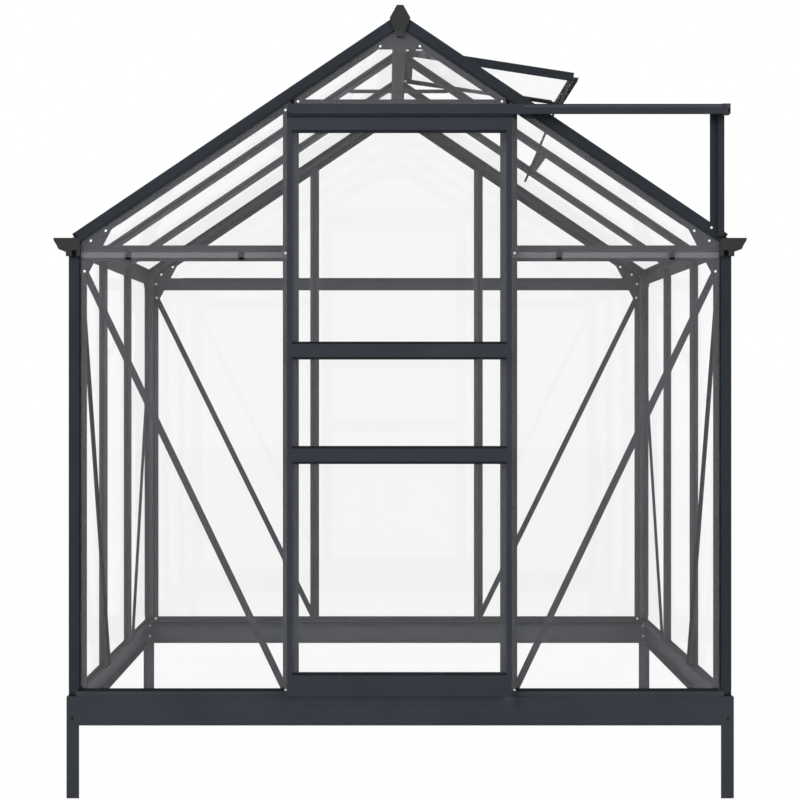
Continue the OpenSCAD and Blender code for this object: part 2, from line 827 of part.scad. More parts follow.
module rear_glass() {
  x0 = bar_pos - pane_bar;
  color(glass_col) at_rear() {
    both_x() side_panes(bar_pos);
    leaf(v_pane, glass_t)
      polygon([[-x0, z_pane], [x0, z_pane], [x0, z_low_top], [-x0, z_low_top]]);
    apex_pane(bar_pos, z_up, v_lap);
  }
}
module wall_panes() {
  x0 = bar_pos - pane_bar;
  x1 = bar_pos + pane_bar;
  x2 = hy - pane_out;
  high = z_link - pane_gap - z_pane;
  translate([-x0, v_pane, z_pane]) cube([2 * x0, glass_t, high]);
  both_x() translate([x1, v_pane, z_pane]) cube([x2 - x1, glass_t, high]);
}
module left_glass() {
  color(glass_col) at_left() wall_panes();
}
module right_glass() {
  color(glass_col) at_right() wall_panes();
}
module roof_pane(y0, y1, s0) {
  translate([s0, y0, -v_pane - glass_t]) cube([s_glass - s0, y1 - y0, glass_t]);
}
module roof_panes(mid) {
  s0 = (ridge_half + pane_gap) / cp + flange_set * tp;
  y0 = bar_pos - pane_bar;
  y1 = bar_pos + pane_bar;
  y2 = hy - pane_out;
  at_roof() {
    roof_pane(y1, y2, s0);
    roof_pane(-y2, -y1, s0);
    roof_pane(-y0, y0, mid ? s0 : transom_at + pane_foot);
  }
}
module roof_glass_left() {
  color(glass_col) mirror([1, 0, 0]) roof_panes(true);
}
module roof_glass_right() {
  color(glass_col) roof_panes(false);
}

// Roof vent, propped open: angle frame with a drip lip, its pane, transom and stay
module vent_frame() {
  color(frame_col) difference() {
    at_vent() {
      for (m = [0, 1]) mirror([0, m, 0]) {
        translate([0, vent_half - wall_t, -vent_t])
          cube([vent_len, wall_t, vent_t - (m == 0 ? vent_seat : 0)]);
        translate([0, vent_half - vent_flange, -vent_seat - wall_t])
          cube([vent_len, vent_flange, wall_t]);
      }
      translate([0, -vent_half, -vent_t]) cube([vent_head, 2 * vent_half, vent_t]);
      translate([0, -vent_half, -vent_seat - wall_t])
        cube([vent_head + vent_flange, 2 * vent_half, wall_t]);
      translate([vent_len - vent_flange, -vent_half, -vent_seat - wall_t])
        cube([vent_flange, 2 * vent_half, wall_t]);
      translate([vent_len - wall_t, -vent_half, -vent_t])
        cube([wall_t, 2 * vent_half, vent_t - vent_seat]);
      translate([vent_len - wall_t, -vent_half, -lip_n]) cube([vent_lip + wall_t, 2 * vent_half, wall_t]);
      translate([vent_len + vent_lip - wall_t, -vent_half, -1.7 * lip_n])
        cube([wall_t, 2 * vent_half, 1.05 * lip_n]);
      translate([vent_len - 1.6 * stay_w, stay_t, -vent_t])
        cube([1.6 * stay_w - wall_t / 2, stay_w, vent_t - vent_seat - wall_t / 2]);
    }
    translate([x_hinge - big, -big / 2, 0]) cube([big, big, big]);
  }
}
module vent_glass() {
  side = vent_half - wall_t - pane_gap;
  head = vent_head + pane_gap;
  color(glass_col) at_vent()
    translate([head, -side, -vent_seat + seal_gap])
      cube([vent_len + vent_over - head, 2 * side, glass_t]);
}
module vent_transom() {
  half = bar_pos - stem_w / 2 - fit;
  top = v_in + fit;
  color(frame_col) at_roof() {
    translate([transom_at, -half, -top - wall_t]) cube([transom_w, 2 * half, wall_t]);
    translate([transom_at, -half, -bar_depth]) cube([wall_t, 2 * half, bar_depth - top]);
  }
}
module vent_stay() {
  p = vent_pt(vent_len - 1.1 * stay_w, vent_t - 0.4 * stay_w);
  q = slope_pt(transom_at - stay_w / 2 - 3 * fit, bar_depth);
  reach = norm(q - p);
  run = reach + stay_tail;
  turn = atan2(q[1] - p[1], q[0] - p[0]);
  color(frame_col) translate([p[0], plan_y, p[1]]) rotate([0, -turn, 0]) difference() {
    translate([-stay_w / 2, 0, -stay_w / 2]) cube([run + stay_w / 2, stay_t, stay_w]);
    for (i = [0:7]) translate([run - stay_w - i * 3.2 * stay_w, -stay_t, 0]) rotate([-90, 0, 0])
      cylinder(d = stay_w / 3.5, h = 3 * stay_t, $fn = 24);
  }
}

// Door track: a channel with a slot below
module track_rail() {
  left = -door_w / 2;
  len = track_end - left;
  color(frame_col) at_front() translate([(left + track_end) / 2, 0, 0]) along_x(len) difference() {
    translate([track_front, z_track]) square([track_d, track_h]);
    translate([track_front + track_t, z_track + track_t])
      square([track_d - 2 * track_t, track_h - 2 * track_t]);
    translate([slot_mid - track_slot / 2, z_track - track_t]) square([track_slot, 3 * track_t]);
  }
}
// Post that carries the free end of the track, bolted to the right rafter
module track_post() {
  x0 = track_end + track_post_out - track_post_w;
  x1 = track_end + track_post_out - track_post_half;
  rise = z_track + track_h - track_t - z_roof;
  color(frame_col) at_front() difference() {
    union() {
      translate([x0, -track_post_t, z_roof]) cube([track_post_w, track_post_t, rise]);
      translate([x1, track_v, z_roof]) cube([track_post_half, track_off, rise]);
    }
    translate([x1 + wall_t, track_v + wall_t, z_roof - wall_t])
      cube([track_post_half - 2 * wall_t, track_off - 2 * wall_t, rise + 2 * wall_t]);
    difference() {
      translate([0, track_front, z_sill]) cube([base_w, track_d + track_off + wall_t, wall_h + rise]);
      post_top_cut(post_w - 2 * wall_t);
    }
  }
}

// Sliding door
module stile_section() {
  groove = glass_t + pane_gap;
  deep = 0.45 * stile_w;
  half = door_w / 2;
  difference() {
    translate([half - stile_w, door_front]) square([stile_w, door_t]);
    translate([half - stile_w - wall_t, glass_mid - groove / 2]) square([deep + wall_t, groove]);
    translate([half - stile_w + deep + wall_t, door_front + wall_t])
      square([stile_w - deep - 2 * wall_t, door_t - 2 * wall_t]);
  }
}
module door_stiles() {
  color(frame_col) at_door() both_x()
    translate([0, 0, z_door]) linear_extrude(height = z_door_top - z_door) stile_section();
}
// Door rail from z0 with a face of height h and lips below and above
module door_rail_run(z0, h, low, high) {
  lip_in = 1.25 * wall_t;
  along_x(door_w - 2 * stile_w) {
    difference() {
      translate([door_front, z0]) square([door_t, h]);
      translate([door_front + wall_t, z0 + wall_t]) square([door_t - 2 * wall_t, h - 2 * wall_t]);
    }
    for (v = [door_front + lip_in, door_back - lip_in - wall_t]) {
      if (low) translate([v, z0 - lip_h]) square([wall_t, lip_h + eps]);
      if (high) translate([v, z0 + h - eps]) square([wall_t, lip_h + eps]);
    }
  }
}
z_top_rail = z_door_top - top_rail;
z_cross_up = z_door + cross_up;
z_cross_low = z_door + cross_low;
module door_rails() {
  color(frame_col) at_door() {
    door_rail_run(z_top_rail, top_rail, true, false);
    door_rail_run(z_cross_up, door_rail, true, true);
    door_rail_run(z_cross_low, door_rail, true, true);
    door_rail_run(z_door, kick_h, false, true);
  }
}
module door_pane(z0, z1) {
  half = door_w / 2 - 0.64 * stile_w;
  play = pane_gap / 2;
  translate([-half, glass_mid - glass_t / 2, z0 + play])
    cube([2 * half, glass_t, z1 - z0 - 2 * play]);
}
module door_glass() {
  color(glass_col) at_door() {
    door_pane(z_door + kick_h, z_cross_low);
    door_pane(z_cross_low + door_rail, z_cross_up);
    door_pane(z_cross_up + door_rail, z_top_rail);
  }
}
// Roller hangers: a plate through the slot with a wheel on each side
module hanger() {
  axle_z = z_track + track_t + run_gap + roller_d / 2;
  axle_l = track_d - 2 * track_t - hanger_t / 2;
  translate([-hanger_l / 2, slot_mid - hanger_t / 2, z_door_top])
    cube([hanger_l, hanger_t, axle_z + axle_d - z_door_top]);
  translate([0, slot_mid - axle_l / 2, axle_z]) rotate([-90, 0, 0])
    cylinder(d = axle_d, h = axle_l, $fn = 32);
  for (v = [-axle_l / 2, axle_l / 2 - roller_w]) translate([0, slot_mid + v, axle_z])
    rotate([-90, 0, 0]) cylinder(d = roller_d, h = roller_w, $fn = 48);
}
module door_rollers() {
  color("#2a2c2f") at_door() both_x() translate([door_w / 2 - hanger_in, 0, 0]) hanger();
}

base_front();
base_rear();
base_left();
base_right();
ground_stakes();
sill_front();
sill_rear();
sill_left();
sill_right();
corner_posts();
door_jambs();
rear_mullions();
gable_rails();
door_header();
rafters_left();
rafters_right();
roof_bars_left();
roof_bars_right();
wall_bars_left();
wall_bars_right();
ridge_beam();
end_caps();
eave_gutter_left();
eave_gutter_right();
gable_braces();
side_braces();
gusset_plates();
roof_ties();
front_glass();
rear_glass();
left_glass();
right_glass();
roof_glass_left();
roof_glass_right();
vent_frame();
vent_glass();
vent_stay();
vent_transom();
track_rail();
track_post();
door_stiles();
door_rails();
door_glass();
door_rollers();
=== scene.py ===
import bpy
import math
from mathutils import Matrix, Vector


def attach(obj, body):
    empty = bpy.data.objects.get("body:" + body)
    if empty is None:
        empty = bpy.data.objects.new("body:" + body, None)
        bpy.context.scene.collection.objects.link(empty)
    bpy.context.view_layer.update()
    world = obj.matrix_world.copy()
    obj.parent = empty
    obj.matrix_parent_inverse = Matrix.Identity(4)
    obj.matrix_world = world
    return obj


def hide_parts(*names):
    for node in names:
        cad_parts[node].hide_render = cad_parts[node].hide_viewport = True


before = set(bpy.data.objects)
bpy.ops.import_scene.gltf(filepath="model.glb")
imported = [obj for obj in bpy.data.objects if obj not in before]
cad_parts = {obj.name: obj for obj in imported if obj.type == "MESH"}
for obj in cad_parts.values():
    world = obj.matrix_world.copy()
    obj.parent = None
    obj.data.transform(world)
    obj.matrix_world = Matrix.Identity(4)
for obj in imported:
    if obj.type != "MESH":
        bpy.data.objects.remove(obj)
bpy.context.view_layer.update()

bpy.context.scene.view_settings.view_transform = "Standard"

# The studio: a plain pale floor that runs into a white background, soft light from
# the front and above, and a straight-on camera a little above the middle of the door.
white = (1.0, 1.0, 1.0, 1.0)
floor_size = 60.0
floor_drop = 0.001
floor_glow = 0.98
floor_grey = (0.5, 0.5, 0.5, 1.0)
background_light = 0.45


def seen_directly(tree):
    """Gives 1 to rays that show the white itself, and 0 to those that only light the house."""
    path = tree.nodes.new("ShaderNodeLightPath")
    seen = path.outputs["Is Camera Ray"]
    for ray in ("Is Transmission Ray", "Is Glossy Ray"):
        either = tree.nodes.new("ShaderNodeMath")
        either.operation = "MAXIMUM"
        tree.links.new(seen, either.inputs[0])
        tree.links.new(path.outputs[ray], either.inputs[1])
        seen = either.outputs[0]
    return seen


bpy.ops.object.select_all(action="DESELECT")
bpy.ops.mesh.primitive_plane_add(size=floor_size, location=(0.0, 0.0, -floor_drop))
floor = bpy.context.object
floor.name = "studio_floor"
floor_paint = bpy.data.materials.new("pale_floor")
floor_paint.use_nodes = True
tree = floor_paint.node_tree
tree.nodes.clear()
share = tree.nodes.new("ShaderNodeMath")
share.operation = "MULTIPLY"
share.inputs[1].default_value = floor_glow
tree.links.new(seen_directly(tree), share.inputs[0])
glow = tree.nodes.new("ShaderNodeEmission")
glow.inputs["Color"].default_value = white
glow.inputs["Strength"].default_value = 1.0
matt = tree.nodes.new("ShaderNodeBsdfDiffuse")
matt.inputs["Color"].default_value = floor_grey
blend = tree.nodes.new("ShaderNodeMixShader")
tree.links.new(share.outputs[0], blend.inputs[0])
tree.links.new(matt.outputs[0], blend.inputs[1])
tree.links.new(glow.outputs[0], blend.inputs[2])
out = tree.nodes.new("ShaderNodeOutputMaterial")
tree.links.new(blend.outputs[0], out.inputs["Surface"])
floor.data.materials.append(floor_paint)

world = bpy.data.worlds.new("white_studio")
bpy.context.scene.world = world
world.use_nodes = True
tree = world.node_tree
tree.nodes.clear()
level = tree.nodes.new("ShaderNodeMapRange")
level.inputs["To Min"].default_value = background_light
level.inputs["To Max"].default_value = 1.0
tree.links.new(seen_directly(tree), level.inputs["Value"])
backdrop = tree.nodes.new("ShaderNodeBackground")
backdrop.inputs["Color"].default_value = white
tree.links.new(level.outputs[0], backdrop.inputs["Strength"])
out = tree.nodes.new("ShaderNodeOutputWorld")
tree.links.new(backdrop.outputs[0], out.inputs["Surface"])

lamp_aim = Vector((0.0, 0.0, 1.0))
lamp_size = 3.0
for name, place, power in (
    ("key_light", (-3.4, -5.2, 4.2), 200.0),
    ("fill_light", (4.2, -4.4, 2.6), 80.0),
):
    bpy.ops.object.light_add(type="AREA", location=place)
    lamp = bpy.context.object
    lamp.name = name
    lamp.data.size = lamp_size
    lamp.data.energy = power
    lamp.rotation_euler = (lamp_aim - Vector(place)).to_track_quat("-Z", "Y").to_euler()

gable_face = -0.9155
camera_off = 5.819
camera_x = -0.0414
camera_y = gable_face - camera_off
camera_z = 1.166
level_view = (math.radians(90.0), 0.0, 0.0)
bpy.ops.object.camera_add(location=(camera_x, camera_y, camera_z), rotation=level_view)
camera = bpy.context.object
camera.data.lens = 93.49
camera.data.sensor_width = 36.0
camera.data.shift_x = 0.0184
camera.data.shift_y = -0.0223
camera.data.clip_end = 100.0
bpy.context.scene.camera = camera

# Powder coat: the fine orange-peel skin that is sprayed and baked on all the metal. The
# group gives a slightly mottled colour, an uneven sheen and the height of the peel.
mottle_low, mottle_high = 0.92, 1.08
sheen_spread = 0.12
peel_height = 0.0004
coat_shine = 0.04
coat = bpy.data.node_groups.new("powder_coat_skin", "ShaderNodeTree")
for word, way, kind in (
    ("Colour", "INPUT", "NodeSocketColor"),
    ("Roughness", "INPUT", "NodeSocketFloat"),
    ("Grain", "INPUT", "NodeSocketFloat"),
    ("Colour", "OUTPUT", "NodeSocketColor"),
    ("Roughness", "OUTPUT", "NodeSocketFloat"),
    ("Height", "OUTPUT", "NodeSocketFloat"),
):
    coat.interface.new_socket(word, in_out=way, socket_type=kind)
taken = coat.nodes.new("NodeGroupInput")
given = coat.nodes.new("NodeGroupOutput")
spot = coat.nodes.new("ShaderNodeTexCoord")
peel = coat.nodes.new("ShaderNodeTexNoise")
peel.inputs["Detail"].default_value = 3.0
coat.links.new(spot.outputs["Object"], peel.inputs["Vector"])
coat.links.new(taken.outputs["Grain"], peel.inputs["Scale"])
cloud = coat.nodes.new("ShaderNodeTexNoise")
cloud.inputs["Scale"].default_value = 5.0
cloud.inputs["Detail"].default_value = 4.0
coat.links.new(spot.outputs["Object"], cloud.inputs["Vector"])
tone = coat.nodes.new("ShaderNodeMapRange")
tone.inputs["From Min"].default_value = 0.3
tone.inputs["From Max"].default_value = 0.7
tone.inputs["To Min"].default_value = mottle_low
tone.inputs["To Max"].default_value = mottle_high
coat.links.new(cloud.outputs["Fac"], tone.inputs["Value"])
mottle = coat.nodes.new("ShaderNodeVectorMath")
mottle.operation = "SCALE"
coat.links.new(taken.outputs["Colour"], mottle.inputs[0])
coat.links.new(tone.outputs[0], mottle.inputs["Scale"])
coat.links.new(mottle.outputs[0], given.inputs["Colour"])
sheen = coat.nodes.new("ShaderNodeMath")
sheen.operation = "MULTIPLY_ADD"
sheen.inputs[1].default_value = sheen_spread
coat.links.new(peel.outputs["Fac"], sheen.inputs[0])
coat.links.new(taken.outputs["Roughness"], sheen.inputs[2])
coat.links.new(sheen.outputs[0], given.inputs["Roughness"])
coat.links.new(peel.outputs["Fac"], given.inputs["Height"])


def coated_metal(name, colour, roughness=0.5, grain=1100.0, peel_depth=0.06):
    finish = bpy.data.materials.new(name)
    finish.use_nodes = True
    tree = finish.node_tree
    shader = tree.nodes["Principled BSDF"]
    skin = tree.nodes.new("ShaderNodeGroup")
    skin.name = "coat"
    skin.node_tree = coat
    skin.inputs["Colour"].default_value = (*colour, 1.0)
    skin.inputs["Roughness"].default_value = roughness
    skin.inputs["Grain"].default_value = grain
    bump = tree.nodes.new("ShaderNodeBump")
    bump.inputs["Strength"].default_value = peel_depth
    bump.inputs["Distance"].default_value = peel_height
    tree.links.new(skin.outputs["Colour"], shader.inputs["Base Color"])
    tree.links.new(skin.outputs["Roughness"], shader.inputs["Roughness"])
    tree.links.new(skin.outputs["Height"], bump.inputs["Height"])
    tree.links.new(bump.outputs["Normal"], shader.inputs["Normal"])
    shader.inputs["Specular IOR Level"].default_value = coat_shine
    return finish


def dress(finish, *solids):
    for name in solids:
        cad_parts[name].data.materials.clear()
        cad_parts[name].data.materials.append(finish)


# Steel base and ground stakes: galvanised sheet folded to channels, and angle stakes, all
# coated in anthracite and bolted to each other at the corners.
steel_tone = (0.048, 0.052, 0.0645)
steel_grain = 900.0
steel_finish = coated_metal("anthracite_steel", steel_tone, grain=steel_grain)
dress(steel_finish, "base_rear", "base_left", "base_right", "ground_stakes")

# Corner straps: thin plates of the same coated steel, folded round the outer front corners
# of base and stake. The right one is the thicker.
strap_inner = 0.9336
strap_outer_right, strap_outer_left = 0.9352, 0.9346
strap_deep = (-0.9144, -0.9032)
strap_tall = (0.0015, 0.2846)


def strip(name, across, deep, tall, body, slot_name, finish, round_by=0.0004):
    """Makes a straight strip between two limits in X, Y and Z, with its edges rounded."""
    limits = [sorted(pair) for pair in (across, deep, tall)]
    bpy.ops.object.select_all(action="DESELECT")
    bpy.ops.mesh.primitive_cube_add(size=1.0, location=[(low + high) / 2 for low, high in limits])
    piece = bpy.context.object
    piece.name = name
    piece.scale = [high - low for low, high in limits]
    bpy.ops.object.transform_apply(location=True, rotation=True, scale=True)
    bpy.ops.object.mode_set(mode="EDIT")
    bpy.ops.mesh.select_all(action="SELECT")
    bpy.ops.mesh.bevel(offset=round_by, segments=2, affect="EDGES")
    bpy.ops.object.mode_set(mode="OBJECT")
    piece.data.materials.append(finish)
    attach(piece, body)
    return piece


for word, across in (
    ("right", (strap_inner, strap_outer_right)),
    ("left", (-strap_outer_left, -strap_inner)),
):
    strip("corner_strap_" + word, across, strap_deep, strap_tall, "house", "steel_coat", steel_finish)

# Front base: the same folded and coated sheet as the other three sides. Below the door its
# upper edge, the threshold, is painted paler: painted light that takes out the shadow the
# door casts on it.
doorway_middle = 0.01
doorway_edge, doorway_full = 0.322, 0.295
threshold_light_foot, threshold_light_head = 0.235, 0.285
lifted_tone = (0.106, 0.114, 0.142)
threshold_light_full = 0.84
threshold_light_steps = ((0.3, 0.13), (0.45, 0.2), (0.56, 0.33), (0.67, 0.66))


def axes_of(finish):
    """Gives the X, Y and Z of each point of the piece."""
    tree = finish.node_tree
    where = tree.nodes.new("ShaderNodeTexCoord")
    split = tree.nodes.new("ShaderNodeSeparateXYZ")
    tree.links.new(where.outputs["Object"], split.inputs[0])
    return split.outputs


def rise(finish, value, start, end):
    """Climbs from 0 at the start to 1 at the end."""
    tree = finish.node_tree
    ramp = tree.nodes.new("ShaderNodeMapRange")
    ramp.inputs["From Min"].default_value = start
    ramp.inputs["From Max"].default_value = end
    tree.links.new(value, ramp.inputs["Value"])
    return ramp.outputs[0]


def distance_from(finish, value, middle):
    """Gives how far a value lies from the middle, to either side."""
    tree = finish.node_tree
    shifted = tree.nodes.new("ShaderNodeMath")
    shifted.operation = "SUBTRACT"
    shifted.inputs[1].default_value = middle
    tree.links.new(value, shifted.inputs[0])
    distance = tree.nodes.new("ShaderNodeMath")
    distance.operation = "ABSOLUTE"
    tree.links.new(shifted.outputs[0], distance.inputs[0])
    return distance.outputs[0]


def both(finish, one, other):
    """Keeps what two masks have in common."""
    tree = finish.node_tree
    product = tree.nodes.new("ShaderNodeMath")
    product.operation = "MULTIPLY"
    tree.links.new(one, product.inputs[0])
    tree.links.new(other, product.inputs[1])
    return product.outputs[0]


def two_tones(finish, mask, first, second):
    """Goes from the first tone to the second with a mask. The first may be such a mix itself."""
    tree = finish.node_tree
    mix = tree.nodes.new("ShaderNodeMix")
    mix.data_type = "RGBA"
    if isinstance(first, tuple):
        mix.inputs["A"].default_value = (*first, 1.0)
    else:
        tree.links.new(first, mix.inputs["A"])
    mix.inputs["B"].default_value = (*second, 1.0)
    tree.links.new(mask, mix.inputs["Factor"])
    return mix.outputs["Result"]


def colour_by(finish, tone):
    finish.node_tree.links.new(tone, finish.node_tree.nodes["coat"].inputs["Colour"])


threshold_steel = coated_metal("threshold_steel", steel_tone, grain=steel_grain)
at = axes_of(threshold_steel)
aside = distance_from(threshold_steel, at["X"], doorway_middle)
doorway = rise(threshold_steel, aside, doorway_edge, doorway_full)
threshold_light = threshold_steel.node_tree.nodes.new("ShaderNodeValToRGB")
threshold_light.color_ramp.elements[0].position = 0.0
threshold_light.color_ramp.elements[0].color = (0.0, 0.0, 0.0, 1.0)
threshold_light.color_ramp.elements[1].position = threshold_light_full
threshold_light.color_ramp.elements[1].color = white
for height, amount in threshold_light_steps:
    step = threshold_light.color_ramp.elements.new(height)
    step.color = (amount, amount, amount, 1.0)
upward = rise(threshold_steel, at["Z"], threshold_light_foot, threshold_light_head)
threshold_steel.node_tree.links.new(upward, threshold_light.inputs["Fac"])
# Painted light: paler under the door, where the door's shadow falls on the threshold.
under_door_light = both(threshold_steel, doorway, threshold_light.outputs["Color"])
colour_by(threshold_steel, two_tones(threshold_steel, under_door_light, steel_tone, lifted_tone))
dress(threshold_steel, "base_front")

# House frame: extruded aluminium sections, coated, cut to length and bolted through the
# channels in their backs. The coat is bluer on the outer faces of the two gables and greyer
# on the faces behind the panes.
outer_face_tone = (0.0292, 0.0355, 0.0435)
behind_pane_tone = (0.0285, 0.0295, 0.0355)
house_middle = 0.0195
outer_face_start, outer_face_end = 0.9225, 0.9250
inside_start, inside_end = -0.88, -0.80


# Bluer on the outer gable faces, greyer behind the panes, and going over to the inside tone deeper in the
# house.
def house_coat(name, inside_tone):
    finish = coated_metal(name, outer_face_tone)
    at = axes_of(finish)
    outer_face = rise(finish, distance_from(finish, at["Y"], house_middle), outer_face_start, outer_face_end)
    inside = rise(finish, at["Y"], inside_start, inside_end)
    behind_pane = two_tones(finish, inside, behind_pane_tone, inside_tone)
    colour_by(finish, two_tones(finish, outer_face, behind_pane, outer_face_tone))
    return finish


frame_finish = house_coat("anthracite_aluminium", behind_pane_tone)
dress(
    frame_finish, "sill_rear", "sill_left", "sill_right", "gable_rails", "door_header",
    "rafters_left", "rafters_right", "ridge_beam", "eave_gutter_left", "eave_gutter_right",
    "gable_braces", "side_braces", "gusset_plates", "roof_ties", "vent_stay", "track_post",
)

# Front sill and door jambs: the coated extrusions round the doorway, bolted to the base and
# the header. A thin rib runs up the inner edge of the right jamb.
front = -0.9095
rib_across = (0.281, 0.2842)
rib_deep = (front + 0.008, front + 0.0096)
rib_tall = (0.302, 1.9145)
sill_finish = coated_metal("anthracite_front_sill", (0.055, 0.059, 0.072))
dress(sill_finish, "sill_front")
jamb_finish = coated_metal("anthracite_jamb", (0.0325, 0.0375, 0.044))
dress(jamb_finish, "door_jambs")
strip("jamb_edge_right", rib_across, rib_deep, rib_tall, "house", "frame_coat", frame_finish)

# Posts and glazing bars: coated extrusions that carry the panes on their flanges, bolted to
# the sill, the eaves and the ridge. Deeper in the house their coat is painted paler, a painted
# reflection: the haze of the panes in front of them.
# Painted reflection: the paler inside tone stands for the haze of the glass over the bars.
bar_finish = house_coat("anthracite_bars", (0.0510, 0.0520, 0.0620))
dress(bar_finish, "corner_posts", "rear_mullions", "wall_bars_left", "wall_bars_right")
roof_bar_finish = house_coat("anthracite_roof_bars", (0.0530, 0.0540, 0.0620))
dress(roof_bar_finish, "roof_bars_left", "roof_bars_right")

# Post feet: black blocks in the notch under each corner post, painted shade for the dark open
# corner there, paler towards the top, and the thin outer wall of the post that runs on down
# beside them.
rear = 0.9485
sides = ((1, "right"), (-1, "left"))
gables = ((front, 1, "front"), (rear, -1, "rear"))
foot_shade_inner = {"front": 0.9070, "rear": 0.8966}
foot_shade_outer = 0.9262
foot_shade_round = 0.0008
web_inner, web_outer = 0.9263, 0.9289
foot_deep = (0.0012, 0.0225)
foot_tall = (0.2854, 0.3072)
foot_top_start, foot_top_end = 0.286, 0.306
foot_shade_tone = (0.0075, 0.0085, 0.0095)
foot_top_tone = (0.043, 0.048, 0.052)


def soft_plastic(name, colour, roughness=0.55):
    return coated_metal(name, colour, roughness, grain=500.0, peel_depth=0.05)


# Painted shade: near black for the open corner under each post, paler towards the top.
foot_shade_black = soft_plastic("foot_shade_black", foot_shade_tone)
foot_paler_top = rise(foot_shade_black, axes_of(foot_shade_black)["Z"], foot_top_start, foot_top_end)
colour_by(foot_shade_black, two_tones(foot_shade_black, foot_paler_top, foot_shade_tone, foot_top_tone))
for side, word in sides:
    for face, way, gable in gables:
        where = "%s_%s" % (gable, word)
        deep = [face + way * inward for inward in foot_deep]
        across = (side * foot_shade_inner[gable], side * foot_shade_outer)
        strip(
            "foot_shade_block_" + where, across, deep, foot_tall, "house", "roller_plastic", foot_shade_black, foot_shade_round)
        across = (side * web_inner, side * web_outer)
        strip("foot_web_" + where, across, deep, foot_tall, "house", "frame_coat", frame_finish)

# Post heads: a moulded plug, dark as the frame, pressed into the open corner between each
# rear post and its gutter.
head_inner, head_outer = 0.909, 0.925
head_deep = (0.925, 0.945)
head_tall = (1.560, 1.579)
for side, word in sides:
    across = (side * head_inner, side * head_outer)
    strip("post_head_plug_" + word, across, head_deep, head_tall, "house", "roller_plastic", frame_finish)

# End caps: moulded plastic with a fine spark texture, pushed into the ends of ridge, gutters
# and track. The ridge caps are olive grey with a paler tip, the gutter caps neutral.
ridge_cap_tone = (0.0385, 0.0415, 0.0385)
gutter_cap_tone = (0.0428, 0.0425, 0.0430)
cap_tip_tone = (0.05, 0.052, 0.061)
cap_grain, cap_peel = 600.0, 0.1
ridge_start, ridge_end = 1.98, 2.0
tip_start, tip_end = 2.1505, 2.1475
cap_finish = coated_metal("moulded_cap_plastic", ridge_cap_tone, grain=cap_grain, peel_depth=cap_peel)
at = axes_of(cap_finish)
on_ridge = rise(cap_finish, at["Z"], ridge_start, ridge_end)
on_tip = both(cap_finish, on_ridge, rise(cap_finish, at["Z"], tip_start, tip_end))
cap_tone = two_tones(cap_finish, on_ridge, gutter_cap_tone, ridge_cap_tone)
colour_by(cap_finish, two_tones(cap_finish, on_tip, cap_tone, cap_tip_tone))
dress(cap_finish, "end_caps")

# Cap slots: each gutter cap is moulded with an open slot in its lower block; a black strip
# there is painted shade, the dark inside of the slot.
slot_inner, slot_outer = 0.9057, 0.9192
slot_out = (0.006, 0.0113)
slot_tall = (1.5193, 1.5352)
# Painted shade: black for the inside of the slot.
slot_shade_black = soft_plastic("slot_shade_black", (0.0015, 0.0015, 0.0017), roughness=0.6)
for side, word in sides:
    across = (side * slot_inner, side * slot_outer)
    for face, way, gable in gables:
        deep = [face - way * outward for outward in slot_out]
        strip("cap_slot_%s_%s" % (gable, word), across, deep, slot_tall, "house", "cap_plastic", slot_shade_black)

# Rafter ends: dark moulded plugs that are pressed into the open lower ends of the two
# front rafters, level with their faces.
pitch = math.radians(34.0)
ridge_z = 2.2016
seal_out, seal_in = 0.0003, 0.0008
end_along = (1.1020, 1.1092)
end_in = 0.018
end_below = (0.0262, 0.0003)
pvc_and_shade_mid = soft_plastic("dark_pvc_and_painted_shade", (0.0095, 0.011, 0.013))


def hold(piece):
    bpy.ops.object.select_all(action="DESELECT")
    piece.select_set(True)
    bpy.context.view_layer.objects.active = piece


def tilted(piece, angle, pivot):
    """Turns a piece that was made along X down by an angle about a line along Y."""
    hold(piece)
    bpy.ops.object.mode_set(mode="EDIT")
    bpy.ops.mesh.select_all(action="SELECT")
    bpy.ops.transform.rotate(value=-angle, orient_axis="Y", orient_type="GLOBAL", center_override=pivot)
    bpy.ops.object.mode_set(mode="OBJECT")


def down_slope(piece, side):
    """Lays a piece that was made along X at the apex down the slope of that side."""
    tilted(piece, pitch, (0.0, 0.0, ridge_z))
    if side < 0:
        bpy.ops.object.mode_set(mode="EDIT")
        bpy.ops.mesh.select_all(action="SELECT")
        bpy.ops.transform.mirror(
            orient_type="GLOBAL", constraint_axis=(True, False, False), center_override=(0.0, 0.0, 0.0))
        bpy.ops.mesh.normals_make_consistent(inside=False)
        bpy.ops.object.mode_set(mode="OBJECT")


def under_ridge(below):
    return [ridge_z - depth for depth in below]


for side, word in sides:
    deep = (front - seal_out, front + end_in)
    end = strip(
        "rafter_end_" + word, end_along, deep, under_ridge(end_below), "house", "roller_plastic", pvc_and_shade_mid)
    down_slope(end, side)

# Ridge beam: the coated extrusion along the apex that the roof bars are bolted to. As fitted,
# its left wing is trimmed back to the edge of the panes.
wing_edge = -0.0255
wing_trim = 0.0062


def fitted(node, name):
    """Copies a solid so that it can be trimmed as it is on the finished house."""
    piece = bpy.data.objects.new(name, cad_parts[node].data.copy())
    bpy.context.scene.collection.objects.link(piece)
    hold(piece)
    bpy.ops.object.mode_set(mode="EDIT")
    bpy.ops.mesh.select_all(action="SELECT")
    bpy.ops.mesh.remove_doubles(threshold=0.00001)
    bpy.ops.object.mode_set(mode="OBJECT")
    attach(piece, "house")
    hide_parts(node)
    return piece


